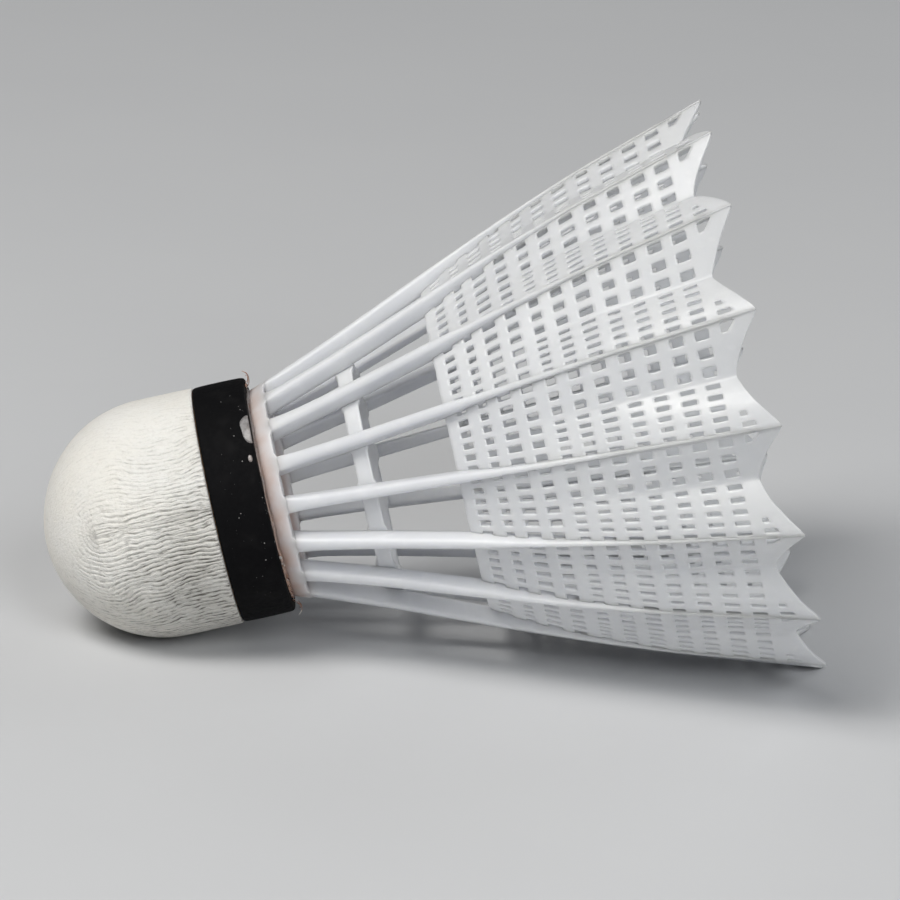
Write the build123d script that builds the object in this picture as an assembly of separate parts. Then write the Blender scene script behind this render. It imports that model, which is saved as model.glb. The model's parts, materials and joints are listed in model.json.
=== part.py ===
from build123d import *
import math
import os

# Badminton shuttlecock with a moulded nylon skirt, lying on its side the way it comes to rest:
# on the dome of its head and on two neighbouring points of the skirt's rim.
# Millimetres. Every piece is first shaped about the shuttle's own axis: the leather's cut edge
# is the plane z = 0, the nose points to -Z and the skirt opens towards +Z. The last section
# lays the whole shuttle down, so that +Z is up and +X runs from the nose to the rim.

# Head: a cork core in a leather skin, with a black band behind the leather
HEAD_RADIUS = 13.5
DOME_CENTRE_Z = -6.2
LEATHER_THICKNESS = 0.7
BAND_RADIUS = 13.4
HEAD_END_Z = 5.9
SOCKET_RADIUS = 8.0
SOCKET_DEPTH = 4.8

# Skirt: one nylon moulding, divided here at its own features
RIB_COUNT = 16
RIB_PITCH = 360 / RIB_COUNT
RIM_POINT_Z = 62.3
RIM_VALLEY_Z = 58.5
COLLAR_FOOT_RADIUS = 11.65
COLLAR_TOP_Z = 8.0
COLLAR_BORE_RADIUS = 9.2
FLANGE_THICKNESS = 1.1
SPIGOT_LENGTH = 4.4
SPIGOT_BORE_RADIUS = 6.8
RING_LOW_Z = 16.3
RING_HIGH_Z = 18.1
RING_BELOW_CREST = 2.2
RING_THICKNESS = 0.9
WEB_START_Z = 27.2
WEB_THICKNESS = 0.7

# Along the axis: z, radius of the rib's crest, rib width, rib height
RIB_STATIONS = [
    (COLLAR_TOP_Z, 12.4, 1.75, 2.6),
    (17.0, 15.9, 1.6, 2.4),
    (WEB_START_Z, 20.25, 1.4, 2.4),
    (36.0, 23.85, 0.95, 1.7),
    (46.0, 27.7, 0.7, 1.2),
    (RIM_POINT_Z, 32.9, 0.6, 0.9),
]

# Along the axis: z, and how far below the crest the web's outer face lies: at the rib, at the
# fold half way between two ribs, and at the shoulder half way from the fold to the next rib
WEB_STATIONS = [
    (WEB_START_Z, 1.8, 1.8, 1.8),
    (36.0, 0.75, 1.2, 0.95),
    (46.0, 0.3, 1.6, 0.65),
    (54.0, 0.15, 2.5, 0.6),
    (RIM_POINT_Z, 0.1, 3.1, 0.7),
]

# Mesh of the web: low and high z of each column of holes. The first four columns have six
# even rows. Beyond them the fold divides each panel: wide holes before it, slots after it.
HOLE_COLUMNS = [
    (28.5, 29.6), (31.0, 31.9), (33.2, 34.6), (35.9, 37.1), (38.6, 39.8), (41.2, 42.5),
    (43.9, 45.3), (46.8, 48.2), (49.6, 51.0), (52.4, 53.9), (55.2, 56.8),
]
EVEN_COLUMNS = 4
WIDE_ROWS = 3
SLOT_ROWS = 5
HOLE_SHARE = 0.6
HOLE_CUTTER_DEPTH = 8.0

# Holes in the rim's points, beyond the last column: the wide row beside one rib, and the two
# slots beside the next rib
POINT_HOLE_LOW_Z = 58.1
POINT_WIDE_TOP_Z = 59.5
POINT_SLOT_TOPS_Z = [59.0, 59.9]

# Adhesive: a bead round the collar's foot, and one lump squeezed out over the band's edge
BEAD_WIDTH = 0.7
BEAD_HEIGHT = 0.5
LUMP_ANGLE = 217.0
LUMP_SPREAD = 20.0
LUMP_LENGTH = 0.9
LUMP_THICKNESS = 0.25


def between(stations, z):
    """The stations' values at height z, on straight lines from one station to the next."""
    for low, high in zip(stations, stations[1:]):
        if z <= high[0] or high is stations[-1]:
            share = (z - low[0]) / (high[0] - low[0])
            return [a + share * (b - a) for a, b in zip(low[1:], high[1:])]


def around(radius, across, angle):
    """A point at that radius along a spoke turned to angle, and that far to the spoke's side."""
    c, s = math.cos(math.radians(angle)), math.sin(math.radians(angle))
    return radius * c - across * s, radius * s + across * c


def section(points, z):
    """A closed flat outline at height z."""
    return make_face(Polyline([(x, y, z) for x, y in points], close=True))


def turned(profile):
    """A solid of revolution from a list of (radius, z) corners."""
    outline = Polyline([(r, 0, z) for r, z in profile], close=True)
    return revolve(make_face(outline), Axis.Z)


# Head -------------------------------------------------------------------------------------


def half_ball(radius):
    """The nose end's half of a ball, with its flat side at the dome's centre."""
    downwards = (Align.CENTER, Align.CENTER, Align.MAX)
    return Pos(0, 0, DOME_CENTRE_Z) * Sphere(radius, arc_size1=-90, arc_size2=0, align=downwards)


def barrel(radius, low_z, high_z):
    upwards = (Align.CENTER, Align.CENTER, Align.MIN)
    return Pos(0, 0, low_z) * Cylinder(radius, high_z - low_z, align=upwards)


core_radius = HEAD_RADIUS - LEATHER_THICKNESS


def make_leather_cover():
    """A skin over the whole nose, cut off square behind the dome."""
    outside = half_ball(HEAD_RADIUS) + barrel(HEAD_RADIUS, DOME_CENTRE_Z, 0)
    return outside - half_ball(core_radius) - barrel(core_radius, DOME_CENTRE_Z, 0)


def make_cork_nose():
    return half_ball(core_radius)


def make_cork_body():
    """The cork behind the nose, with a blind socket for the skirt's spigot in its end."""
    body = barrel(core_radius, DOME_CENTRE_Z, HEAD_END_Z)
    return body - barrel(SOCKET_RADIUS, HEAD_END_Z - SOCKET_DEPTH, HEAD_END_Z)


def make_black_band():
    return turned([(core_radius, 0), (BAND_RADIUS, 0), (BAND_RADIUS, HEAD_END_Z), (core_radius, HEAD_END_Z)])


# Skirt ------------------------------------------------------------------------------------


def make_collar():
    """Foot of the skirt: a flange on the cork's end, with a spigot that plugs into its socket."""
    top_radius, _, _ = between(RIB_STATIONS, COLLAR_TOP_Z)
    flange_z = HEAD_END_Z + FLANGE_THICKNESS
    return turned([
        (SPIGOT_BORE_RADIUS, HEAD_END_Z - SPIGOT_LENGTH),
        (SOCKET_RADIUS, HEAD_END_Z - SPIGOT_LENGTH),
        (SOCKET_RADIUS, HEAD_END_Z),
        (COLLAR_FOOT_RADIUS, HEAD_END_Z),
        (top_radius, COLLAR_TOP_Z),
        (COLLAR_BORE_RADIUS, COLLAR_TOP_Z),
        (COLLAR_BORE_RADIUS, flange_z),
        (SPIGOT_BORE_RADIUS, flange_z),
    ])


def make_rib(angle):
    """A tapering bar from the collar to its point on the rim."""
    sections = []
    for z, crest, width, height in RIB_STATIONS:
        root, side = crest - height, width / 2
        corners = [(root, -side), (crest, -side), (crest, side), (root, side)]
        sections.append(section([around(r, y, angle) for r, y in corners], z))
    return loft(sections, ruled=True)


def make_cross_ring(ribs):
    """The hoop that ties the ribs together from inside, grooved where each of them sits on it."""
    outer_low = between(RIB_STATIONS, RING_LOW_Z)[0] - RING_BELOW_CREST
    outer_high = between(RIB_STATIONS, RING_HIGH_Z)[0] - RING_BELOW_CREST
    hoop = turned([
        (outer_low, RING_LOW_Z),
        (outer_high, RING_HIGH_Z),
        (outer_high - RING_THICKNESS, RING_HIGH_Z),
        (outer_low - RING_THICKNESS, RING_LOW_Z),
    ])
    return hoop - ribs


def fold_line(at_rib, at_fold, at_shoulder, side):
    """Points across a panel at one height, from their radii: rib, fold, shoulder, next rib."""
    return [
        around(at_rib, side, 0),
        around(at_fold, 0, RIB_PITCH / 2),
        around(at_shoulder, 0, RIB_PITCH * 3 / 4),
        around(at_rib, -side, RIB_PITCH),
    ]


def make_folded_sheet():
    """The web between the rib at angle 0 and the next one, folded inwards along its middle."""
    sections = []
    for z, *drops in WEB_STATIONS:
        crest, width, _ = between(RIB_STATIONS, z)
        outer = fold_line(*[crest - drop for drop in drops], width / 2)
        inner = fold_line(*[crest - drop - WEB_THICKNESS for drop in drops], width / 2)
        sections.append(section(outer + inner[::-1], z))
    return loft(sections, ruled=True)


def rim_notch():
    """A cutter that leaves the web's end as a rounded notch between two rim points."""
    crest, width, _ = between(RIB_STATIONS, RIM_POINT_Z)
    half = crest * math.sin(math.radians(RIB_PITCH / 2)) - width / 2
    left, right = (0, -half, RIM_POINT_Z), (0, half, RIM_POINT_Z)
    outline = ThreePointArc(left, (0, 0, RIM_VALLEY_Z), right) + Line(right, left)
    return Rot(0, 0, RIB_PITCH / 2) * extrude(make_face(outline), amount=2 * crest, dir=(1, 0, 0))


def hole(angle, pitch, low, high):
    """A cutter for one hole of the mesh, in a row that takes up pitch degrees of the panel."""
    crest, _, _ = between(RIB_STATIONS, low)
    width = crest * math.radians(pitch) * HOLE_SHARE
    cutter = Box(HOLE_CUTTER_DEPTH, width, high - low)
    return Rot(0, 0, angle) * Pos(crest - HOLE_CUTTER_DEPTH / 4, 0, (low + high) / 2) * cutter


def mesh_holes():
    """Every hole of one panel."""
    wide, slot = RIB_PITCH / 2 / WIDE_ROWS, RIB_PITCH / 2 / SLOT_ROWS
    even_rows = [((i + 0.5) * wide, wide) for i in range(2 * WIDE_ROWS)]
    wide_rows = even_rows[:WIDE_ROWS]
    slot_rows = [(RIB_PITCH / 2 + (i + 0.5) * slot, slot) for i in range(SLOT_ROWS)]
    cutters = [hole(*even_rows[0], POINT_HOLE_LOW_Z, POINT_WIDE_TOP_Z)]
    for (angle, pitch), top in zip(slot_rows[-2:], POINT_SLOT_TOPS_Z):
        cutters.append(hole(angle, pitch, POINT_HOLE_LOW_Z, top))
    for column, (low, high) in enumerate(HOLE_COLUMNS):
        rows = even_rows if column < EVEN_COLUMNS else wide_rows + slot_rows
        cutters += [hole(angle, pitch, low, high) for angle, pitch in rows]
    return cutters


def make_web_panel():
    return make_folded_sheet() - rim_notch() - mesh_holes()


# Adhesive ---------------------------------------------------------------------------------


def make_adhesive():
    bead = turned([
        (COLLAR_FOOT_RADIUS, HEAD_END_Z),
        (COLLAR_FOOT_RADIUS + BEAD_WIDTH, HEAD_END_Z),
        (COLLAR_FOOT_RADIUS + BEAD_WIDTH / 2, HEAD_END_Z + BEAD_HEIGHT),
    ])
    outside = BAND_RADIUS + LUMP_THICKNESS
    lump_section = Polyline([
        (BAND_RADIUS, 0, HEAD_END_Z - LUMP_LENGTH),
        (outside, 0, HEAD_END_Z - LUMP_LENGTH / 2),
        (outside, 0, HEAD_END_Z),
        (BAND_RADIUS, 0, HEAD_END_Z),
    ], close=True)
    lump = revolve(make_face(lump_section), Axis.Z, LUMP_SPREAD)
    return [bead, Rot(0, 0, LUMP_ANGLE - LUMP_SPREAD / 2) * lump]


# Assembly ---------------------------------------------------------------------------------

rib = make_rib(0)
panel = make_web_panel()
rib_angles = [RIB_PITCH * (i + 0.5) for i in range(RIB_COUNT)]
ribs = [Rot(0, 0, angle) * rib for angle in rib_angles]
webs = [Rot(0, 0, angle) * panel for angle in rib_angles]

nodes = {
    "cork_nose": [make_cork_nose()],
    "cork_body": [make_cork_body()],
    "leather_cover": [make_leather_cover()],
    "black_band": [make_black_band()],
    "adhesive_bead": make_adhesive(),
    "skirt_collar": [make_collar()],
    "skirt_cross_ring": [make_cross_ring(ribs)],
}
for i in range(RIB_COUNT):
    nodes[f"skirt_rib_{i + 1:02d}"] = [ribs[i]]
    nodes[f"skirt_web_{i + 1:02d}"] = [webs[i]]


def compound(shapes):
    """All the solids of a list of shapes, as one compound."""
    return Compound([solid for shape in shapes for solid in shape.solids()])


# Laid down: the dome and the corners of two rim points touch the same level
point_x, _ = around(RIB_STATIONS[-1][1], RIB_STATIONS[-1][2] / 2, -RIB_PITCH / 2)
reach = RIM_POINT_Z - DOME_CENTRE_Z
tilt = math.degrees(math.acos(HEAD_RADIUS / math.hypot(point_x, reach)) - math.atan2(reach, point_x))
laid = {name: Rot(0, 90 - tilt, 0) * compound(shapes) for name, shapes in nodes.items()}
box = compound(laid.values()).bounding_box()
to_origin = Pos(-(box.min.X + box.max.X) / 2, -(box.min.Y + box.max.Y) / 2, -box.min.Z)

os.makedirs("parts", exist_ok=True)
for name, shape in laid.items():
    export_step(to_origin * shape, f"parts/{name}.step")
print(f"axis tilt {tilt:.3f} degrees, box {box.size}, leather edge at {to_origin.position}")
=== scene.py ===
import json
import math

import bpy
import numpy as np
from mathutils import Matrix, Vector


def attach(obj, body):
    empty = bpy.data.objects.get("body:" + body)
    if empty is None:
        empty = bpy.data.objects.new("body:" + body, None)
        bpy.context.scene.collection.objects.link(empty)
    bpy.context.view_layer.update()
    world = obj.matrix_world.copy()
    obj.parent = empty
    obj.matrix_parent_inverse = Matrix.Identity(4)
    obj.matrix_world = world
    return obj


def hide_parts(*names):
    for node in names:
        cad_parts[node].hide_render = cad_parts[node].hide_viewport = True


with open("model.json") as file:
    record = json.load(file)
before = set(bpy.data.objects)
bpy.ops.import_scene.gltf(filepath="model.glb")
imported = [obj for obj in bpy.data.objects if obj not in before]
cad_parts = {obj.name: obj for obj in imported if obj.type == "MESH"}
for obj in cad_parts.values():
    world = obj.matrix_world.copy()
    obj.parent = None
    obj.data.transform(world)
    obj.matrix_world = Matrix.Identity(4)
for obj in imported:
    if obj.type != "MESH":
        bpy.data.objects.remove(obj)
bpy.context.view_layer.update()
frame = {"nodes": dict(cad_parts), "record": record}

# A badminton shuttlecock with a moulded nylon skirt, lying on its side.
# Every piece is shaped in millimetres about the shuttle's own axis, as in the CAD: the
# leather's cut edge is z = 0, the nose points to -Z, the skirt opens towards +Z, and angle 0
# faces the floor. laid() turns those millimetres into metres in the row frame.
# Angles round the axis are in radians, and in degrees only where a name says so.

MOUNTS = {mount["name"]: mount for mount in frame["record"]["mounts"]}
AXIS = np.array(MOUNTS["rim_points"]["axis"])
RIM_POINT_Z = 62.3
EDGE_CENTRE = np.array(MOUNTS["rim_points"]["pos_m"]) - AXIS * RIM_POINT_Z / 1000
DOWN = np.array([AXIS[2], 0.0, -AXIS[0]])
SIDE = np.array([0.0, 1.0, 0.0])

# Head
HEAD_RADIUS = 13.5
DOME_CENTRE_Z = -6.2
CORE_RADIUS = 12.8
BAND_RADIUS = 13.4
HEAD_END_Z = 5.9

# Skirt
RIB_COUNT = 16
PITCH = 2 * math.pi / RIB_COUNT
WEB_START_Z = 27.2
RIM_VALLEY_Z = 58.5

# z, radius of the rib's crest, rib height
RIB_STATIONS = np.array([
    (5.9, 11.62, 2.2),
    (8.0, 12.40, 2.6),
    (17.0, 15.90, 2.4),
    (27.2, 20.25, 2.4),
    (36.0, 23.85, 1.7),
    (46.0, 27.70, 1.2),
    (62.3, 32.90, 0.9),
])

# z, how far the web's outer face lies below the crest at the rib and at the fold, thickness
WEB_STATIONS = np.array([
    (27.2, 1.8, 1.8, 0.75),
    (30.0, 1.2, 1.6, 0.70),
    (36.0, 0.58, 1.2, 0.62),
    (46.0, 0.17, 1.6, 0.52),
    (54.0, 0.08, 2.5, 0.46),
    (62.3, 0.0, 3.1, 0.42),
])

# Where each column of holes starts and ends along the axis. The first few columns have wide
# holes on both sides of a pleat's fold, and the others have narrow slots beyond it.
HOLE_COLUMNS = [
    (28.5, 29.6), (31.0, 31.9), (33.2, 34.7), (35.9, 37.2), (38.7, 39.8), (41.2, 42.5),
    (43.8, 45.4), (46.8, 48.2), (49.6, 51.0), (52.4, 54.0), (55.2, 56.8),
]
EVEN_COLUMNS = 4


def laid(points):
    """Shuttle millimetres to row-frame metres."""
    return EDGE_CENTRE + np.asarray(points) @ np.array([DOWN, SIDE, AXIS]) / 1000


NOISE_CELLS = 32


def noise(points, cell, seed):
    """Smooth noise between -1 and 1 at each point, with features about as large as cell."""
    lattice = np.random.default_rng(seed).uniform(-1, 1, (NOISE_CELLS, NOISE_CELLS, NOISE_CELLS))
    scaled = np.asarray(points) / cell
    corner = np.floor(scaled).astype(int)
    share = scaled - corner
    share = share * share * (3 - 2 * share)
    total = np.zeros(scaled.shape[:-1])
    for step in np.ndindex(2, 2, 2):
        weight = np.prod(np.where(step, share, 1 - share), axis=-1)
        at = (corner + step) % NOISE_CELLS
        total += weight * lattice[at[..., 0], at[..., 1], at[..., 2]]
    return total


def station(table, z, column):
    """What a table's column says at z, between its rows."""
    return np.interp(z, table[:, 0], table[:, column])


def polar(radius, angle, z):
    """Points from their distance to the axis, their angle round it and their height along it."""
    return np.stack(np.broadcast_arrays(radius * np.cos(angle), radius * np.sin(angle), z), axis=-1)


# Materials ---------------------------------------------------------------------------------


def put(tree, kind, inputs=(), **settings):
    """A node with its settings and inputs. An input is a value or another node's output."""
    node = tree.nodes.new(kind)
    for name, value in settings.items():
        setattr(node, name, value)
    for name, value in dict(inputs).items():
        if isinstance(value, bpy.types.NodeSocket):
            tree.links.new(value, node.inputs[name])
        else:
            node.inputs[name].default_value = value
    return node


def start_material(name):
    """A material's tree, its shader, and the place on the object in millimetres."""
    material = bpy.data.materials.new(name)
    material.use_nodes = True
    tree = material.node_tree
    shader = tree.nodes["Principled BSDF"]
    place = put(tree, "ShaderNodeTexCoord").outputs["Object"]
    scaled = put(tree, "ShaderNodeVectorMath", {0: place, 1: (1000, 1000, 1000)}, operation="MULTIPLY")
    return material, tree, shader, scaled.outputs[0]


def grain(tree, place, scale, detail=3.0, roughness=0.55):
    """Noise from 0 to 1."""
    inputs = {"Vector": place, "Scale": scale, "Detail": detail, "Roughness": roughness}
    return put(tree, "ShaderNodeTexNoise", inputs).outputs["Fac"]


def ramp(tree, value, low, high, at_low=0.0, at_high=1.0):
    """The value stretched so that low becomes at_low and high becomes at_high, and held there."""
    inputs = {"Value": value, "From Min": low, "From Max": high, "To Min": at_low, "To Max": at_high}
    return put(tree, "ShaderNodeMapRange", inputs).outputs[0]


def blend(tree, share, first, second):
    """A colour that goes from the first to the second as share goes from 0 to 1."""
    node = put(tree, "ShaderNodeMix", data_type="RGBA")
    for socket, value in zip([node.inputs[0], node.inputs[6], node.inputs[7]], [share, first, second]):
        if isinstance(value, bpy.types.NodeSocket):
            tree.links.new(value, socket)
        else:
            socket.default_value = value
    return node.outputs[2]


def times(tree, first, second):
    return put(tree, "ShaderNodeMath", {0: first, 1: second}, operation="MULTIPLY").outputs[0]


def plus(tree, first, second):
    return put(tree, "ShaderNodeMath", {0: first, 1: second}, operation="ADD").outputs[0]


def attribute(tree, name):
    """A number that add_piece() stored at each point of the mesh."""
    return put(tree, "ShaderNodeAttribute", attribute_name=name).outputs["Fac"]


def bump(tree, shader, height, distance, strength=1.0):
    """Bumps in the surface: height times distance is their height in metres."""
    node = put(tree, "ShaderNodeBump", {"Height": height, "Distance": distance, "Strength": strength})
    tree.links.new(node.outputs[0], shader.inputs["Normal"])


def feed(tree, shader, **sockets):
    names = {"colour": "Base Color", "roughness": "Roughness"}
    for name, value in sockets.items():
        tree.links.new(value, shader.inputs[names[name]])


def soften(shader, weight, radius, scale):
    """Lets light into the material: scale is how far, in metres, and radius is its tint."""
    shader.inputs["Subsurface Weight"].default_value = weight
    shader.inputs["Subsurface Radius"].default_value = radius
    shader.inputs["Subsurface Scale"].default_value = scale


def make_nylon():
    """Milky moulded nylon, with flow marks, and glue stains towards the collar's foot."""
    material, tree, shader, place = start_material("white_nylon")
    cloud = grain(tree, place, 0.09, 4)
    base = blend(tree, ramp(tree, cloud, 0.3, 0.7), (0.64, 0.652, 0.678, 1), (0.71, 0.72, 0.738, 1))
    marks = ramp(tree, grain(tree, place, 0.6, 5), 0.55, 0.75, 0, 0.35)
    base = blend(tree, marks, base, (0.78, 0.785, 0.80, 1))
    uneven = ramp(tree, grain(tree, place, 0.35, 4), 0.30, 0.65, 0.45, 1)
    stain = times(tree, attribute(tree, "stain"), uneven)
    base = blend(tree, stain, base, (0.52, 0.33, 0.25, 1))
    feed(tree, shader, colour=base, roughness=ramp(tree, grain(tree, place, 0.8, 4), 0.3, 0.7, 0.30, 0.46))
    bump(tree, shader, grain(tree, place, 1.6, 4), 0.00003, 0.5)
    shader.inputs["Specular IOR Level"].default_value = 0.5
    soften(shader, 0.8, (1.0, 1.0, 1.1), 0.0022)
    return material


def make_leather():
    """Ivory split leather, finely ridged, with painted shade in its grooves and on its lower, most wrinkled
    side.

    The mesh carries where each point lies across the ridges (line) and along them, in
    millimetres, which side of the swirl it is on, and how deep the ridges are (strength).
    """
    material, tree, shader, place = start_material("white_leather")
    line, along = attribute(tree, "line"), attribute(tree, "along")
    side, strength = attribute(tree, "side"), attribute(tree, "strength")

    def streaks(width, length, detail):
        """Noise drawn out along the ridges."""
        spot = {"X": times(tree, line, 1 / width), "Y": times(tree, along, 1 / length), "Z": side}
        return grain(tree, put(tree, "ShaderNodeCombineXYZ", spot).outputs[0], 1.0, detail)

    phase = times(tree, line, 2 * math.pi / RIDGE_SPACING)
    wave = put(tree, "ShaderNodeMath", {0: phase}, operation="SINE")
    depth = ramp(tree, wave.outputs[0], -1, 1, 1, 0)
    valley = put(tree, "ShaderNodeMath", {0: depth, 1: 2.2}, operation="POWER")
    regular = ramp(tree, valley.outputs[0], 0, 1, 0.75, -0.75)
    regular = times(tree, regular, ramp(tree, streaks(0.9, 2.0, 2), 0.40, 0.62, 0.25, 1))
    forked = ramp(tree, streaks(0.42, 2.2, 3), 0.25, 0.75, -1.0, 1.0)
    short = ramp(tree, streaks(0.24, 0.8, 3), 0.25, 0.75, -0.7, 0.7)
    ridges = times(tree, plus(tree, plus(tree, regular, forked), short), strength)
    fine = ramp(tree, grain(tree, place, 3.0, 6, 0.75), 0.25, 0.75, -0.55, 0.55)

    base = blend(tree, ramp(tree, grain(tree, place, 0.12, 4), 0.4, 0.7, 0, 0.5),
                 (0.91, 0.895, 0.85, 1), (0.90, 0.865, 0.78, 1))
    base = blend(tree, ramp(tree, fine, -0.5, -0.05, 0.35, 0), base, (0.55, 0.52, 0.46, 1))
    # Painted shade: the lower, most wrinkled side is darkened where the ridges are deepest
    base = blend(tree, ramp(tree, strength, 1.1, 1.8, 0, 0.45), base, (0.45, 0.43, 0.39, 1))
    # Painted shade in the ridges' grooves, strongest on the lower side where the ridges are deepest
    groove = ramp(tree, ridges, -1.5, 0.0, 1, 0)
    groove_shade = times(tree, groove, ramp(tree, strength, 1.0, 1.7, 0.6, 1.0))
    base = blend(tree, groove_shade, base, (0.20, 0.19, 0.165, 1))
    feed(tree, shader, colour=base, roughness=ramp(tree, fine, -0.5, 0.5, 0.75, 0.55))
    bump(tree, shader, plus(tree, ridges, fine), 0.00009, 1.0)
    shader.inputs["Specular IOR Level"].default_value = 0.3
    soften(shader, 0.03, (1.0, 0.85, 0.7), 0.0003)
    return material


def make_band():
    """Dull black, with dust and glue specks, most of them near the skirt."""
    material, tree, shader, place = start_material("black_band")
    dots = put(tree, "ShaderNodeTexVoronoi", {"Vector": place, "Scale": 2.2, "Randomness": 1.0})
    size = ramp(tree, grain(tree, place, 1.3, 3), 0.45, 0.75, 0.0, 0.30)
    near = times(tree, attribute(tree, "dusty"), size)
    inside = put(tree, "ShaderNodeMath", {0: near, 1: dots.outputs["Distance"]}, operation="SUBTRACT")
    speck = ramp(tree, inside.outputs[0], 0.0, 0.08)
    patches = ramp(tree, grain(tree, place, 0.5, 5), 0.5, 0.85, 0, 0.03)
    haze = times(tree, attribute(tree, "dusty"), patches)
    base = blend(tree, haze, (0.004, 0.004, 0.0045, 1), (0.30, 0.29, 0.28, 1))
    base = blend(tree, speck, base, (0.46, 0.45, 0.44, 1))
    feed(tree, shader, colour=base, roughness=ramp(tree, grain(tree, place, 2.0, 4), 0.3, 0.7, 0.60, 0.80))
    bump(tree, shader, grain(tree, place, 2.5, 5), 0.00006, 0.6)
    shader.inputs["Specular IOR Level"].default_value = 0.06
    return material


def make_cork(name, scale, light, dark):
    """Cork granules with darker seams and pits."""
    material, tree, shader, place = start_material(name)
    cells = put(tree, "ShaderNodeTexVoronoi", {"Vector": place, "Scale": scale, "Randomness": 1.0})
    tint = put(tree, "ShaderNodeSeparateColor", {"Color": cells.outputs["Color"]}).outputs[0]
    base = blend(tree, ramp(tree, tint, 0, 1, 0, 0.8), light, dark)
    seams = put(tree, "ShaderNodeTexVoronoi", {"Vector": place, "Scale": scale}, feature="DISTANCE_TO_EDGE")
    from_seam = seams.outputs["Distance"]
    base = blend(tree, ramp(tree, from_seam, 0.0, 0.08, 0.7, 0.0), base, (0.10, 0.05, 0.025, 1))
    pits = ramp(tree, grain(tree, place, 1.4, 5), 0.62, 0.72, 0, 0.8)
    base = blend(tree, pits, base, (0.12, 0.06, 0.03, 1))
    feed(tree, shader, colour=base, roughness=ramp(tree, tint, 0, 1, 0.65, 0.9))
    bump(tree, shader, plus(tree, from_seam, grain(tree, place, 3, 4)), 0.0001, 0.6)
    return material


def make_glue():
    """Set adhesive: milky where it is thick, and tinged brown where it thins out."""
    material, tree, shader, place = start_material("adhesive")
    base = blend(tree, ramp(tree, grain(tree, place, 0.9, 4), 0.35, 0.65),
                 (0.13, 0.135, 0.14, 1), (0.26, 0.265, 0.27, 1))
    uneven = ramp(tree, grain(tree, place, 0.5, 4), 0.25, 0.6, 0.3, 1)
    stain = times(tree, attribute(tree, "stain"), uneven)
    base = blend(tree, stain, base, (0.60, 0.36, 0.25, 1))
    feed(tree, shader, colour=base, roughness=ramp(tree, grain(tree, place, 2, 3), 0.3, 0.7, 0.18, 0.42))
    bump(tree, shader, grain(tree, place, 2.2, 4), 0.00008, 0.6)
    soften(shader, 0.4, (1.0, 0.9, 0.8), 0.0008)
    return material


def make_flake():
    """Chips of torn cork and dried glue."""
    material, tree, shader, place = start_material("adhesive_chips")
    mix = grain(tree, place, 1.8, 4)
    base = blend(tree, ramp(tree, mix, 0.35, 0.6), (0.13, 0.045, 0.03, 1), (0.38, 0.20, 0.13, 1))
    base = blend(tree, ramp(tree, grain(tree, place, 1.1, 3), 0.50, 0.60), base, (0.75, 0.70, 0.66, 1))
    feed(tree, shader, colour=base, roughness=ramp(tree, mix, 0.3, 0.7, 0.4, 0.75))
    bump(tree, shader, grain(tree, place, 3, 4), 0.0001, 0.6)
    return material


def make_floor_paint():
    material, tree, shader, place = start_material("floor_paint")
    base = blend(tree, grain(tree, place, 0.02, 3), (0.57, 0.575, 0.585, 1), (0.60, 0.605, 0.61, 1))
    feed(tree, shader, colour=base, roughness=ramp(tree, grain(tree, place, 0.4, 3), 0, 1, 0.75, 0.85))
    return material


# Meshes ------------------------------------------------------------------------------------


def add_piece(name, points, faces, material, slot, replaced=(), creases=None, levels=0, **values):
    """A piece that rides on the root body, rounded by levels of subdivision.

    creases says how sharp an edge stays, and values are numbers per point, for its material.
    """
    mesh = bpy.data.meshes.new(name)
    mesh.from_pydata(laid(points).tolist(), [], faces)
    mesh.validate()
    mesh.polygons.foreach_set("use_smooth", [True] * len(mesh.polygons))
    for label, numbers in values.items():
        mesh.attributes.new(label, "FLOAT", "POINT").data.foreach_set("value", np.float32(numbers))
    if creases:
        ends = np.zeros(2 * len(mesh.edges), int)
        mesh.edges.foreach_get("vertices", ends)
        pairs = np.sort(ends.reshape(-1, 2), axis=1).tolist()
        sharp = [creases.get(tuple(pair), 0.0) for pair in pairs]
        mesh.attributes.new("crease_edge", "FLOAT", "EDGE").data.foreach_set("value", np.float32(sharp))
    mesh.materials.append(material)
    piece = bpy.data.objects.new(name, mesh)
    bpy.context.scene.collection.objects.link(piece)
    if levels:
        modifier = piece.modifiers.new("rounded", "SUBSURF")
        modifier.levels = levels
        modifier.render_levels = levels
    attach(piece, "root")
    if replaced:
        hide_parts(*replaced)


def edge_key(first, second):
    return (min(first, second), max(first, second))


def solid_sheet(outer, inner, kept, rim_crease, corner_crease):
    """Points, faces and creases of a closed sheet between two grids of points.

    It is open where kept is false. rim_crease is how sharp its rims are, and corner_crease
    how sharp the rims' corners are.
    """
    rows, lines = outer.shape[:2]
    count = rows * lines
    faces, creases, turns = [], {}, {}

    def is_kept(row, line):
        return 0 <= row < rows - 1 and 0 <= line < lines - 1 and kept[row, line]

    for row, line in np.argwhere(kept).tolist():
        a, b = row * lines + line, row * lines + line + 1
        c, d = b + lines, a + lines
        faces.append((a, b, c, d))
        faces.append((d + count, c + count, b + count, a + count))
        sides = [
            (a, b, row - 1, line, 0), (b, c, row, line + 1, 1),
            (c, d, row + 1, line, 0), (d, a, row, line - 1, 1),
        ]
        for first, second, next_row, next_line, way in sides:
            if is_kept(next_row, next_line):
                continue
            faces.append((second, first, first + count, second + count))
            creases[edge_key(first, second)] = rim_crease
            creases[edge_key(first + count, second + count)] = rim_crease
            for end in (first, second):
                turns.setdefault(end, set()).add(way)
    for end, ways in turns.items():
        if len(ways) == 2:
            creases[edge_key(end, end + count)] = corner_crease
    points = np.concatenate([outer.reshape(-1, 3), inner.reshape(-1, 3)])
    return points, faces, creases


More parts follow.
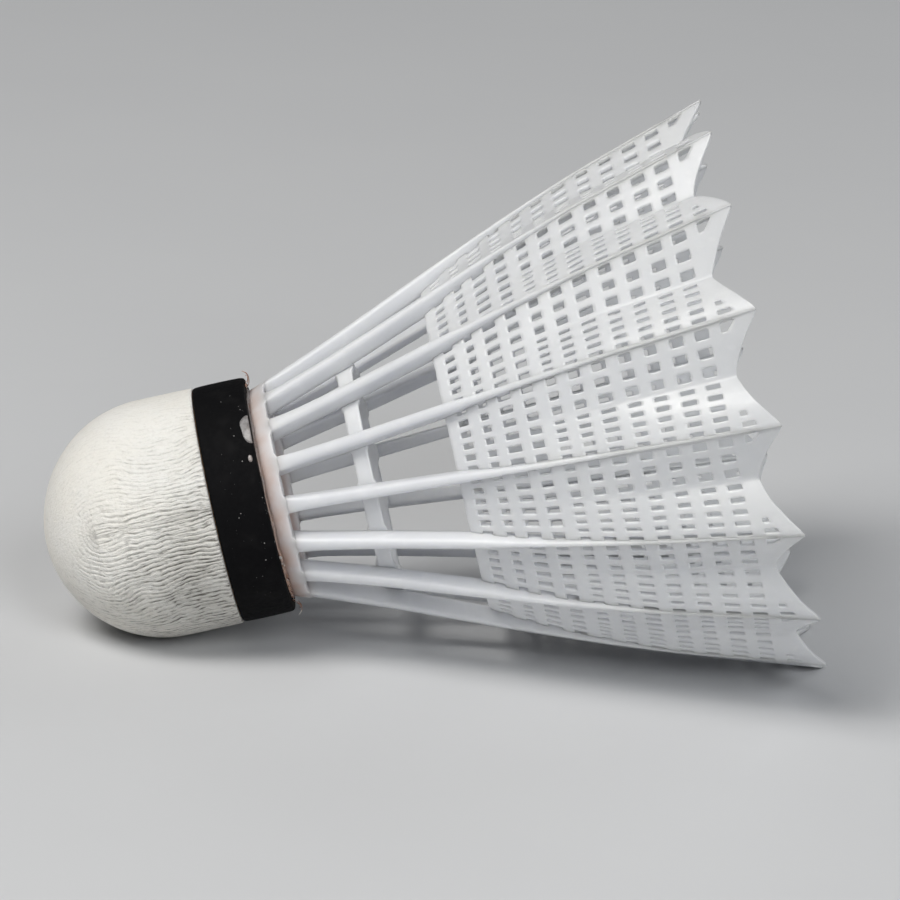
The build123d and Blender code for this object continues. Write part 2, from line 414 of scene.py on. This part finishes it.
def tube(rings, closed=False):
    """A closed solid through rings of points, capped at its ends or joined into a loop."""
    count, around = rings.shape[:2]
    faces = []
    for ring in range(count if closed else count - 1):
        here, there = ring * around, (ring + 1) % count * around
        for k in range(around):
            after = (k + 1) % around
            faces.append((here + k, here + after, there + after, there + k))
    if not closed:
        faces.append(tuple(reversed(range(around))))
        faces.append(tuple(range((count - 1) * around, count * around)))
    return rings.reshape(-1, 3), faces


def warp(points):
    """The skirt's slight unevenness, which grows towards the rim."""
    points = np.asarray(points, float).copy()
    growth = np.clip(points[..., 2] / RIM_POINT_Z, 0, 1) ** 2
    inwards = 0.10 * (noise(points, 17.0, 5) - 1) * growth
    radius = np.hypot(points[..., 0], points[..., 1])
    points[..., :2] *= (1 + inwards / radius)[..., None]
    return points


def turn(points, angle):
    """Turns points about the shuttle's axis."""
    c, s = math.cos(angle), math.sin(angle)
    return points @ np.array([[c, s, 0], [-s, c, 0], [0, 0, 1]])


def steps_round(count):
    return np.arange(count) * 2 * math.pi / count


def spin(sections, angles):
    """Rings of points: each section's (radius, z) pairs, turned to its angle."""
    rings = []
    for section, angle in zip(sections, angles):
        rings.append([(r * math.cos(angle), r * math.sin(angle), z) for r, z in section])
    return np.array(rings)


def angle_of(points):
    return np.arctan2(points[:, 1], points[:, 0])


def outward_faces(faces):
    """The same faces, turned over."""
    return [face[::-1] for face in faces]


# Head --------------------------------------------------------------------------------------

SWIRL_ANGLE = math.radians(-108)
SWIRL_RISE = math.radians(31)
RIDGE_SPACING = 0.56
RIDGE_HEIGHT = 0.016
WRINKLED_SIDE = np.array([math.cos(math.radians(-52)), math.sin(math.radians(-52)), 0.30])
LEATHER_EDGE_RADIUS = 13.25
DOME_CELLS = 220
BARREL_ROWS = 34
LINING_STEPS = 10
DUSTY_ANGLE = math.radians(-115)
BAND_STEPS = 240


def ridge_lines(points):
    """Where each point of the skin lies across and along the ridges, in millimetres, and
    how far it is to one side of the swirl, as a share of the dome's radius.

    The ridges run along the axis, and close round a swirl on the dome.
    """
    side = np.array([math.cos(SWIRL_ANGLE), math.sin(SWIRL_ANGLE), 0])
    across = np.array([-side[1], side[0], 0])
    swirl = side * math.cos(SWIRL_RISE) - np.array([0, 0, 1]) * math.sin(SWIRL_RISE)
    onward = side * math.sin(SWIRL_RISE) + np.array([0, 0, 1]) * math.cos(SWIRL_RISE)
    centred = points - [0, 0, DOME_CENTRE_Z]
    beyond = np.maximum(centred[:, 2], 0)
    centred[:, 2] = np.minimum(centred[:, 2], 0)
    unit = centred / np.linalg.norm(centred, axis=1)[:, None]
    sideways, forward, outward = np.abs(unit @ across), unit @ onward, unit @ swirl
    ahead = forward > 0
    crossing = np.where(ahead, np.arctan2(sideways, outward), np.arccos(np.clip(outward, -1, 1)))
    along = np.where(ahead, np.arcsin(np.clip(forward, -1, 1)), np.arctan2(forward, sideways))
    return HEAD_RADIUS * crossing, HEAD_RADIUS * along + beyond, unit @ across


def make_leather_points():
    """Points and faces of the skin, and how many of the points are on its outside.

    They are an even net over the dome, then the barrel, then the inside.
    """
    # A square net, rounded to a disc and then wrapped evenly over the dome
    n = DOME_CELLS
    steps = np.linspace(-1, 1, n + 1)
    a, b = np.meshgrid(steps, steps, indexing="ij")
    wide = np.abs(a) > np.abs(b)
    reach = np.where(wide, a, b)
    safe = np.where(reach == 0, 1, reach)
    angle = np.where(wide, math.pi / 4 * b / safe, math.pi / 2 - math.pi / 4 * a / safe)
    radius = np.abs(reach)
    angle = np.where(reach < 0, angle + math.pi, angle)
    tilt = 2 * np.arcsin(np.clip(radius / math.sqrt(2), 0, 1))
    dome = polar(np.sin(tilt), angle, -np.cos(tilt)).reshape(-1, 3) * HEAD_RADIUS + [0, 0, DOME_CENTRE_Z]

    def at(i, j):
        return i * (n + 1) + j

    faces = [(at(i, j), at(i, j + 1), at(i + 1, j + 1), at(i + 1, j)) for i in range(n) for j in range(n)]
    rim = [at(n, j) for j in range(n)] + [at(i, n) for i in range(n, 0, -1)]
    rim += [at(0, j) for j in range(n, 0, -1)] + [at(i, 0) for i in range(n)]

    # The barrel carries on from the net's rim
    base = dome[rim]
    rings = []
    for row in range(1, BARREL_ROWS + 1):
        rings.append(base * [1, 1, 0] + [0, 0, DOME_CENTRE_Z * (1 - row / BARREL_ROWS)])
    outside = np.concatenate([dome] + rings)

    # The cut edge, and the lining against the cork
    inner = []
    flat = base * [1, 1, 0] / HEAD_RADIUS
    for radius, z in [(LEATHER_EDGE_RADIUS, 0.0), (CORE_RADIUS, 0.0), (CORE_RADIUS, DOME_CENTRE_Z)]:
        inner.append(flat * radius + [0, 0, z])
    for step in range(1, LINING_STEPS):
        lift = math.pi / 2 * step / LINING_STEPS
        depth = DOME_CENTRE_Z - CORE_RADIUS * math.sin(lift)
        inner.append(flat * CORE_RADIUS * math.cos(lift) + [0, 0, depth])
    tip = np.array([[0, 0, DOME_CENTRE_Z - CORE_RADIUS]])
    points = np.concatenate([outside] + inner + [tip])

    around = len(rim)
    starts = [len(dome) + ring * around for ring in range(len(rings) + len(inner))]
    loops = [rim] + [list(range(start, start + around)) for start in starts]
    for low, high in zip(loops, loops[1:]):
        faces += [(low[k], low[(k + 1) % around], high[(k + 1) % around], high[k]) for k in range(around)]
    last = loops[-1]
    faces += [(last[k], last[(k + 1) % around], len(points) - 1) for k in range(around)]
    return points, faces, len(outside)


def make_leather_cover(material):
    """The skin, ridged most on its lower side, with a cut edge that isn't quite straight."""
    points, faces, outside = make_leather_points()
    skin = points[:outside]
    crossing, along, sideways = ridge_lines(skin)
    line = crossing + RIDGE_SPACING * (0.85 * noise(skin, 3.3, 11) + 0.28 * noise(skin, 1.1, 12))
    centred = skin - [0, 0, DOME_CENTRE_Z]
    centred[:, 2] = np.minimum(centred[:, 2], 0)
    outward = centred / np.linalg.norm(centred, axis=1)[:, None]
    lower_right = outward @ WRINKLED_SIDE + 0.03 * (skin[:, 2] - DOME_CENTRE_Z)
    strength = np.clip(0.50 + 1.15 * lower_right + 0.30 * noise(skin, 4.0, 21), 0.2, 1.9)
    lift = RIDGE_HEIGHT * strength * np.sin(2 * math.pi * line / RIDGE_SPACING)
    lift += 0.035 * noise(skin, 6.0, 22) + 0.012 * noise(skin, 0.9, 23) - 0.08

    # The cut edge is rounded over and wavy
    near_edge = np.clip(skin[:, 2] + 1, 0, 1)
    lift -= 0.10 * np.clip((skin[:, 2] + 0.25) / 0.25, 0, 1) ** 2
    moved = skin + outward * lift[:, None]
    moved[:, 2] += 0.05 * near_edge * (noise(skin, 1.7, 24) - 1)
    points[:outside] = moved
    values = {"line": line, "along": along, "side": 3 * np.tanh(sideways / 0.04), "strength": strength}
    inside = np.zeros(len(points) - outside)
    values = {name: np.concatenate([numbers, inside]) for name, numbers in values.items()}
    add_piece("leather_cover_skin", points, faces, material, "white_leather", ["leather_cover"], **values)


def make_black_band(material):
    """A sleeve with a softly broken rear edge, slightly uneven round its surface."""
    profile = [
        (CORE_RADIUS, 0.03), (13.30, 0.03), (13.36, 0.5), (13.38, 1.5), (13.38, 2.7), (13.38, 3.9),
        (13.37, 5.0), (13.34, 5.6), (13.22, 5.88), (12.95, 5.95), (12.2, 5.96), (11.45, 5.95),
        (11.4, 5.91), (CORE_RADIUS, 5.91), (CORE_RADIUS, 3.0),
    ]
    radius, z = np.array(profile).T
    rings = polar(radius[None, :], steps_round(BAND_STEPS)[:, None], z[None, :])
    outside = radius > CORE_RADIUS
    wobble = 0.02 * noise(rings, 2.2, 31) * outside
    rings[..., :2] *= (1 + wobble / radius)[..., None]
    points, faces = tube(rings, closed=True)
    facing = np.clip(np.cos(angle_of(points) - DUSTY_ANGLE), 0, 1)
    dusty = np.clip((points[:, 2] + 0.5) / 5.5, 0, 1) * (0.25 + 0.9 * facing)
    add_piece("black_band_sleeve", points, outward_faces(faces), material, "black_band", ["black_band"],
              levels=1, dusty=dusty)


# Skirt -------------------------------------------------------------------------------------

COLLAR_FOOT_RADIUS = 11.62
COLLAR_BORE_RADIUS = 9.2
COLLAR_EDGE_Z = 7.95
COLLAR_SLOPE = 0.371
SPIGOT_RADIUS = 8.0
SPIGOT_BORE_RADIUS = 6.8
RING_LOW_Z = 16.3
RING_HIGH_Z = 18.1
STEPS_PER_RIB = 24


def near_rib(angle):
    """Distance round the axis to the nearest rib's middle, in radians."""
    return np.abs((np.asarray(angle) / PITCH) % 1 - 0.5) * PITCH


def stain_at(points):
    """How brown the glue has made the nylon: most at the collar's foot, and on the lower side."""
    low = 0.55 + 0.45 * np.cos(angle_of(points))
    height = np.clip((8.6 - points[:, 2]) / 2.4, 0, 1)
    return np.clip(height * (0.60 + 0.60 * low), 0, 1)


def crest_radius(z):
    """Radius of the collar's sloping wall, which the ribs' crests carry on."""
    return COLLAR_FOOT_RADIUS + (z - HEAD_END_Z) * COLLAR_SLOPE


def corner_rise(angles, radius, half_width, corner):
    """How far a rounded corner climbs each rib: its full radius at the rib, and nothing away from it."""
    gap = np.clip(near_rib(angles) * radius - half_width, 0, corner)
    return corner - np.sqrt(corner ** 2 - (corner - gap) ** 2)


def make_collar(material):
    """The skirt's foot: flange, spigot and the sloping wall whose edge the windows start from."""
    angles = steps_round(STEPS_PER_RIB * RIB_COUNT)
    bore, spigot, spigot_bore = COLLAR_BORE_RADIUS, SPIGOT_RADIUS, SPIGOT_BORE_RADIUS
    profiles = []
    for rise in corner_rise(angles, radius=12.4, half_width=0.95, corner=0.3):
        top = COLLAR_EDGE_Z + rise
        wall = crest_radius(top)
        profiles.append([
            (COLLAR_FOOT_RADIUS, 5.92), (11.81, 6.4), (12.07, 7.1),
            (wall - 0.11, top - 0.30), (wall - 0.03, top - 0.08), (wall - 0.15, top), (10.2, top),
            (9.9, 8.0), (9.3, 8.0), (bore, 7.9), (bore, 7.0), (6.9, 7.0),
            (spigot_bore, 6.9), (spigot_bore, 1.5), (spigot, 1.5), (spigot, 5.9),
        ])
    points, faces = tube(spin(profiles, angles), closed=True)
    add_piece("skirt_collar_foot", points, outward_faces(faces), material, "white_nylon", ["skirt_collar"],
              levels=1, stain=stain_at(points))


def make_cross_ring(material):
    """One hoop inside the ribs, thickened where it meets each of them."""
    angles = steps_round(STEPS_PER_RIB * RIB_COUNT)
    sections = []
    for rise in corner_rise(angles, radius=13.7, half_width=0.85, corner=0.35):
        low, high = RING_LOW_Z - 0.7 * rise, RING_HIGH_Z + 0.7 * rise
        middle = (RING_LOW_Z + RING_HIGH_Z) / 2
        sections.append([
            (13.43, low), (13.80, middle), (14.13, high), (13.23, high - 0.05), (12.53, low + 0.05),
        ])
    points, faces = tube(spin(sections, angles), closed=True)
    creases = {}
    for ring in range(len(angles)):
        following = (ring + 1) % len(angles)
        for k in (0, 2, 3, 4):
            creases[edge_key(ring * 5 + k, following * 5 + k)] = 0.45
    add_piece("skirt_cross_ring_hoop", warp(points), outward_faces(faces), material, "white_nylon",
              ["skirt_cross_ring"], creases=creases, levels=2, stain=np.zeros(len(points)))


RIB_ROWS = [
    7.2, 8.2, 9.0, 10.5, 13.5, 17.0, 22.0, 26.0, 27.4,
    29.5, 32.5, 36.0, 41.0, 46.0, 51.0, 56.0, 59.0, 60.8,
]
RIB_DEEPEST = 2.2

# z, how far the crest stands above the rib's station, rib width, depth of the crest's rounding
RIB_SHAPE = np.array([
    (7.2, -0.06, 1.95, 0.12),
    (8.2, 0.01, 1.92, 0.14),
    (9.0, 0.0, 1.80, 0.26),
    (10.5, 0.0, 1.68, 0.42),
    (17.0, 0.0, 1.54, 0.45),
    (27.4, 0.0, 1.34, 0.40),
    (29.5, 0.0, 1.02, 0.32),
    (32.5, 0.0, 0.82, 0.26),
    (36.0, 0.0, 0.72, 0.22),
    (46.0, 0.0, 0.50, 0.14),
    (56.0, 0.02, 0.38, 0.08),
    (59.0, -0.02, 0.34, 0.06),
    (60.8, -0.14, 0.26, 0.05),
])


def make_rib(index, material):
    """A bar with sloping sides and a rounded crest, which fades into the web towards the rim."""
    rings = []
    for z in RIB_ROWS:
        rise, width, shoulder = [station(RIB_SHAPE, z, column) for column in (1, 2, 3)]
        crest = station(RIB_STATIONS, z, 1) + rise
        root = crest - min(station(RIB_STATIONS, z, 2), RIB_DEEPEST)
        half = width / 2
        section = [
            (root, -half), (root, half), (crest - 1.6 * shoulder, 0.94 * half),
            (crest - 0.75 * shoulder, 0.84 * half), (crest, 0.42 * half), (crest, -0.42 * half),
            (crest - 0.75 * shoulder, -0.84 * half), (crest - 1.6 * shoulder, -0.94 * half),
        ]
        rings.append([(r, y, z) for r, y in section])
    rings = np.array(rings)
    creases = {}
    for ring in range(len(RIB_ROWS) - 1):
        for k in (0, 1):
            creases[edge_key(ring * 8 + k, ring * 8 + 8 + k)] = 0.5
    points, faces = tube(rings)
    sway = [noise(points + 40 * index, 4.0, seed) for seed in (41, 42)]
    points[:, :2] += 0.025 * np.stack(sway, axis=1)
    points = warp(turn(points, PITCH * (index + 0.5)))
    name = f"skirt_rib_{index + 1:02d}"
    add_piece(name + "_bar", points, outward_faces(faces), material, "white_nylon", [name],
              creases=creases, levels=2, stain=stain_at(points))


WIDE_ROWS = 3
SLOT_ROWS = 5
TIP_ROUNDING = 0.02
OVERLAP = 0.012


def rim_z(u, valley):
    """Height of the rim at the share u of the way from one rib to the next."""
    away = np.where(u < 0.5, u, 1 - u)
    power = np.where(u < 0.5, 1.5, 1.35)
    near = np.clip(1 - 2 * (np.hypot(away, TIP_ROUNDING) - TIP_ROUNDING), 0, 1)
    return valley + (RIM_POINT_Z - 0.1 - valley) * near ** power


def panel_lines(even):
    """Where the lines across a panel lie, as shares of the way to the next rib."""
    wide = [(row + 0.5) / (2 * WIDE_ROWS) + way * 0.044 for row in range(WIDE_ROWS) for way in (-1, 1)]
    if even:
        # As many lines as beyond the fold, so that the rows of the grid join up
        slots = [0.539, 0.583, 0.627, 0.706, 0.733, 0.767, 0.794, 0.873, 0.917, 0.961]
    else:
        slots = [
            0.5 + (row + 0.5) / (2 * SLOT_ROWS) + way * 0.0215 for row in range(SLOT_ROWS) for way in (-1, 1)
        ]
    return np.array([-OVERLAP] + wide + [0.5] + slots + [1 + OVERLAP])


# Which cells between those lines are open: in the even columns, in the others, and in the point
EVEN_HOLES = [1, 3, 5, 8, 9, 11, 12, 13, 15, 16]
FOLDED_HOLES = [1, 3, 5, 8, 10, 12, 14, 16]
POINT_HOLES = [1, 14, 16]

# Share of the way across a panel, and height of the point holes' upper edge there
POINT_HOLE_TOPS = np.array([
    (0.026, 59.75), (0.114, 58.7), (0.20, 58.5), (0.78, 58.5),
    (0.81, 58.7), (0.86, 58.85), (0.90, 59.45), (0.955, 59.6),
])
POINT_HOLE_LOW_Z = 58.1


def panel_grid(valley):
    """Shares across and heights of a panel's grid, and which cells of it are solid."""
    rows = [(WEB_START_Z, True)]
    for column, (low, high) in enumerate(HOLE_COLUMNS):
        even = column < EVEN_COLUMNS
        rows += [(low + 0.03, even), (high - 0.03, even)]
    rows.append((57.4, False))
    shares = [panel_lines(even) for z, even in rows]
    heights = [np.full(len(shares[0]), z) for z, _ in rows]

    # Beyond the last column: where the point holes start and end, and the rim.
    # The lines beside them shift a little towards the rib before.
    u = shares[-1]
    after_fold, before_fold = (u > 0.78) & (u < 0.99), (u > 0) & (u < 0.15)
    u = u - 0.018 * after_fold - 0.013 * before_fold
    rim = rim_z(u, valley)
    low = np.minimum(POINT_HOLE_LOW_Z, rim - 0.6)
    high = np.minimum(station(POINT_HOLE_TOPS, u, 1), low + 0.6 * (rim - low))
    for z in (low, high, rim - np.minimum(0.35, 0.5 * (rim - high)), rim):
        shares.append(u)
        heights.append(z)
    kept = np.ones((len(shares) - 1, len(u) - 1), bool)
    for column in range(len(HOLE_COLUMNS)):
        kept[1 + 2 * column, EVEN_HOLES if column < EVEN_COLUMNS else FOLDED_HOLES] = False
    kept[len(rows), POINT_HOLES] = False
    return np.array(shares), np.array(heights), kept


def panel_surface(shares, heights, depth, flatness):
    """Points of a panel, depth times its thickness below its outer face.

    flatness is how much of the fold's depth is pressed out.
    """
    crest = station(RIB_STATIONS, heights, 1)
    rib_drop, fold_drop, thickness = [station(WEB_STATIONS, heights, column) for column in (1, 2, 3)]
    fold_drop = rib_drop + (fold_drop - rib_drop) * (1 - flatness)
    within = np.clip(shares, 0, 1)
    towards_fold = 1 - np.abs(2 * within - 1)
    at_rib = crest - rib_drop - depth * thickness
    at_fold = crest - fold_drop - depth * thickness
    rib_angle = np.where(within < 0.5, 0, PITCH)
    x = at_rib * np.cos(rib_angle) * (1 - towards_fold) + at_fold * math.cos(PITCH / 2) * towards_fold
    y = at_rib * np.sin(rib_angle) * (1 - towards_fold) + at_fold * math.sin(PITCH / 2) * towards_fold

    # The slots' side of the fold bulges outwards, more towards the rim
    bend = 1 + 1.2 * np.clip((heights - 36) / 18, 0, 1) * (within >= 0.5)
    bulge = (fold_drop - rib_drop) * (towards_fold - towards_fold ** bend)
    angle = np.arctan2(y, x) + (shares - within) * PITCH
    return polar(np.hypot(x, y) + bulge, angle, heights)


def make_panel(index, material):
    """One pleat of the mesh. The lowest pleats are pressed a little flatter by their weight."""
    middle = PITCH * (index + 1)
    weight = np.clip((math.cos(middle) - 0.45) / 0.25, 0, 1)
    shares, heights, kept = panel_grid(RIM_VALLEY_Z + weight)
    jitter = np.stack([shares * 8, heights, np.zeros_like(shares)], axis=-1) + 50.0 * index
    edge = (shares > 0.06) & (shares < 0.94)
    shares = shares + 0.003 * noise(jitter, 0.9, 51) * edge
    heights = heights + 0.05 * noise(jitter, 1.1, 52) * edge

    # The rim has flash in its valleys, and is more ragged on the far side
    flash = np.exp(-((shares[-1] - 0.45) / 0.16) ** 2)
    heights[-1] += flash * (0.06 + 0.26 * noise(jitter[-1] * 1.9, 0.7, 53))
    ragged = 0.16 * np.clip(math.sin(middle) - 0.2, 0, 1) * edge[-1]
    heights[-1] += ragged * noise(jitter[-1] * 3.1, 0.7, 54)
    outer = panel_surface(shares, heights, 0.0, 0.35 * weight)
    inner = panel_surface(shares, heights, 1.0, 0.35 * weight)
    points, faces, creases = solid_sheet(outer, inner, kept, 0.50, 0.80)
    points = warp(turn(points, PITCH * (index + 0.5)))
    name = f"skirt_web_{index + 1:02d}"
    add_piece(name + "_mesh", points, faces, material, "white_nylon", [name],
              creases=creases, levels=2, stain=np.zeros(len(points)))


# Adhesive ----------------------------------------------------------------------------------


BEAD_RADIUS = 11.65
BEAD_STEPS = 360
BLOB_STEPS = 28
BLOB_LAYERS = 6


def make_glue_bead(material):
    """A thin uneven line of glue round the collar's foot, brownest on the lower side."""
    angles = steps_round(BEAD_STEPS)
    spot = polar(BEAD_RADIUS, angles, 6.0)
    wide = 0.40 + 0.20 * noise(spot, 1.6, 61) + 0.10 * noise(spot, 0.6, 62)
    high = 0.34 + 0.16 * noise(spot, 1.9, 63) + 0.08 * noise(spot, 0.5, 64)
    foot = HEAD_END_Z
    sections = []
    for w, h in zip(wide, high):
        sections.append([
            (11.5, foot), (BEAD_RADIUS + w, foot), (BEAD_RADIUS + 0.8 * w, foot + 0.55 * h),
            (11.68, foot + h), (11.5, 6.1),
        ])
    points, faces = tube(spin(sections, angles), closed=True)
    stain = 0.55 + 0.4 * np.cos(angle_of(points))
    add_piece("adhesive_bead_line", points, outward_faces(faces), material, "adhesive", ["adhesive_bead"],
              levels=1, stain=stain)


def make_blob(name, material, degrees, centre_z, half_length, half_width, thickness, seed, stain):
    """A lens of glue pressed on to the band, with an uneven outline."""
    count, layers = BLOB_STEPS, BLOB_LAYERS
    points = []
    for layer in range(layers + 1):
        share = layer / layers
        for k in range(count):
            way = 2 * math.pi * k / count
            around = half_width * math.cos(way) * share
            along = half_length * math.sin(way) * share
            points.append((around, along, share))
    flat = np.array(points)
    wobble = 1 + 0.28 * noise(np.stack([flat[:, 0], flat[:, 1], 0 * flat[:, 0]], axis=1), 1.1, seed)
    around, along = flat[:, 0] * wobble, flat[:, 1] * wobble
    rise = thickness * (1 - flat[:, 2] ** 4) * (1 + 0.3 * noise(flat * 2, 0.8, seed + 1))
    z = np.minimum(centre_z + along, HEAD_END_Z - 0.02)
    angle = math.radians(degrees) + around / BAND_RADIUS
    top = polar(BAND_RADIUS - 0.06 + rise, angle, z)
    bottom = polar(BAND_RADIUS - 0.16, angle, z)
    faces = []
    size = len(top)
    for layer in range(layers):
        for k in range(count):
            a, b = layer * count + k, layer * count + (k + 1) % count
            faces.append((a, b, b + count, a + count))
            faces.append((a + size + count, b + size + count, b + size, a + size))
    for k in range(count):
        a, b = layers * count + k, layers * count + (k + 1) % count
        faces.append((a, b, b + size, a + size))
    points = np.concatenate([top, bottom])
    add_piece(name, points, faces, material, "adhesive", stain=np.full(len(points), stain))


# Degrees round the axis, length, and how steeply the chip stands up: 1 is straight out
UPPER_CHIPS = [(160, 1.3, 0.95), (165, 1.9, 1.0), (169, 1.6, 0.9), (174, 0.9, 0.9), (178, 0.6, 0.9)]
LOWER_CHIPS = [(-27, 1.6, 0.6), (-21, 2.3, 0.7), (-14, 1.4, 0.5)]
CHIP_THICKNESS = 0.07
CHIP_STEPS = 6


def make_flakes(material):
    """Small curled chips that stand up at the edge between the band and the collar."""
    rng = np.random.default_rng(71)
    small = [(-75 + 6 * k, 0.35 + 0.35 * rng.random(), 0.3) for k in range(9)]
    chips = UPPER_CHIPS + small + LOWER_CHIPS
    all_points, all_faces = [], []
    for degrees, length, lift in chips:
        angle = math.radians(degrees)
        foot_radius, foot_z = 12.0 + 0.6 * rng.random(), 5.95 + 0.15 * rng.random()
        width = 0.25 + (0.45 + 0.35 * rng.random()) * min(length, 1)
        curl = rng.uniform(-0.8, 0.8)
        rows = []
        for step in range(CHIP_STEPS + 1):
            share = step / CHIP_STEPS
            radial = foot_radius + lift * length * math.sin(1.4 * share)
            curled = 0.25 * length * math.sin(3 * share + curl)
            height = foot_z + (1 - lift) * 0.6 * length * share + curled
            half = width * (1 - 0.5 * share ** 3) / 2
            side = 0.3 * length * curl * share ** 2
            rows.append([
                (radial, side - half, height),
                (radial + 0.05, side, height + 0.07),
                (radial, side + half, height),
            ])
        top = np.array(rows)
        bottom = top - [0.0, 0.0, CHIP_THICKNESS]
        top = top + 0.04 * rng.standard_normal(top.shape)
        kept = np.ones((CHIP_STEPS, 2), bool)
        points, faces, _ = solid_sheet(top, bottom, kept, 0, 0)
        offset = sum(len(placed) for placed in all_points)
        all_points.append(turn(points, angle))
        all_faces += [tuple(v + offset for v in face) for face in faces]
    points = np.concatenate(all_points)
    add_piece("adhesive_chips", points, all_faces, material, "adhesive", levels=1)


# Build -------------------------------------------------------------------------------------

nylon, leather, band, glue, flake = make_nylon(), make_leather(), make_band(), make_glue(), make_flake()
make_leather_cover(leather)
make_black_band(band)

make_collar(nylon)
make_cross_ring(nylon)
for number in range(RIB_COUNT):
    make_rib(number, nylon)
    make_panel(number, nylon)

make_glue_bead(glue)
make_blob("adhesive_lump", glue, degrees=217, centre_z=5.75, half_length=0.95, half_width=1.75,
          thickness=0.09, seed=65, stain=0.1)
make_blob("adhesive_smear", glue, degrees=232, centre_z=5.3, half_length=0.26, half_width=0.42,
          thickness=0.07, seed=67, stain=0.2)
make_flakes(flake)

# The cork isn't remade: the CAD's own solids show it, through the skirt's mouth
corks = {
    "cork_nose": make_cork("natural_cork", 0.45, (0.66, 0.46, 0.28, 1), (0.46, 0.29, 0.16, 1)),
    "cork_body": make_cork("pressed_cork", 0.75, (0.60, 0.41, 0.25, 1), (0.33, 0.20, 0.11, 1)),
}
for node_name, cork in corks.items():
    node = frame["nodes"][node_name]
    node.data.materials.clear()
    node.data.materials.append(cork)

# Floor, light and camera -------------------------------------------------------------------

FLOOR_SIZE = 6.0
half = FLOOR_SIZE / 2
floor_corners = [(-half, -half, 0), (half, -half, 0), (half, half, 0), (-half, half, 0)]
floor_mesh = bpy.data.meshes.new("floor")
floor_mesh.from_pydata(floor_corners, [], [(0, 1, 2, 3)])
floor_mesh.materials.append(make_floor_paint())
floor = bpy.data.objects.new("floor", floor_mesh)
bpy.context.scene.collection.objects.link(floor)


def add_light(name, place, size, power, colour):
    """A soft square lamp that faces the middle of the object."""
    lamp = bpy.data.lights.new(name, "AREA")
    lamp.shape = "SQUARE"
    lamp.size = size
    lamp.energy = power
    lamp.color = colour
    holder = bpy.data.objects.new(name, lamp)
    holder.location = place
    holder.rotation_euler = (MIDDLE - Vector(place)).to_track_quat("-Z", "Y").to_euler()
    bpy.context.scene.collection.objects.link(holder)


MIDDLE = Vector((0.0, 0.0, 0.03))
add_light("key", (-0.42, -0.30, 0.75), 0.4, 6.3, (1.0, 0.985, 0.96))
add_light("fill", (0.32, -0.85, 0.66), 0.5, 4.8, (0.96, 0.98, 1.0))
add_light("back", (0.60, 0.50, 0.50), 0.6, 1.3, (0.93, 0.96, 1.0))

world = bpy.data.worlds.new("studio")
world.use_nodes = True
sky = world.node_tree.nodes["Background"].inputs
sky["Color"].default_value = (0.95, 0.97, 1.0, 1)
sky["Strength"].default_value = 0.09
bpy.context.scene.world = world
bpy.context.scene.view_settings.view_transform = "Standard"

AZIMUTH = math.radians(-4.108)
ELEVATION = math.radians(19.016)
ROLL = math.radians(3.034)
DISTANCE = 0.6439
LENS = 231.9
LOOK_AT = Vector((0.00088, -0.00276, 0.02338))

# The camera's own axes: back is away from what it looks at
back = Vector((
    math.sin(AZIMUTH) * math.cos(ELEVATION),
    -math.cos(AZIMUTH) * math.cos(ELEVATION),
    math.sin(ELEVATION),
))
level = Vector((math.cos(AZIMUTH), math.sin(AZIMUTH), 0))
right = level * math.cos(ROLL) + back.cross(level) * math.sin(ROLL)
up = back.cross(right)
camera_data = bpy.data.cameras.new("camera")
camera_data.lens = LENS
camera_data.sensor_width = 36
camera_data.clip_start = 0.01
camera_data.clip_end = 20
camera = bpy.data.objects.new("camera", camera_data)
turning = Matrix((right, up, back)).transposed().to_4x4()
camera.matrix_world = Matrix.Translation(LOOK_AT + back * DISTANCE) @ turning
bpy.context.scene.collection.objects.link(camera)
bpy.context.scene.camera = camera
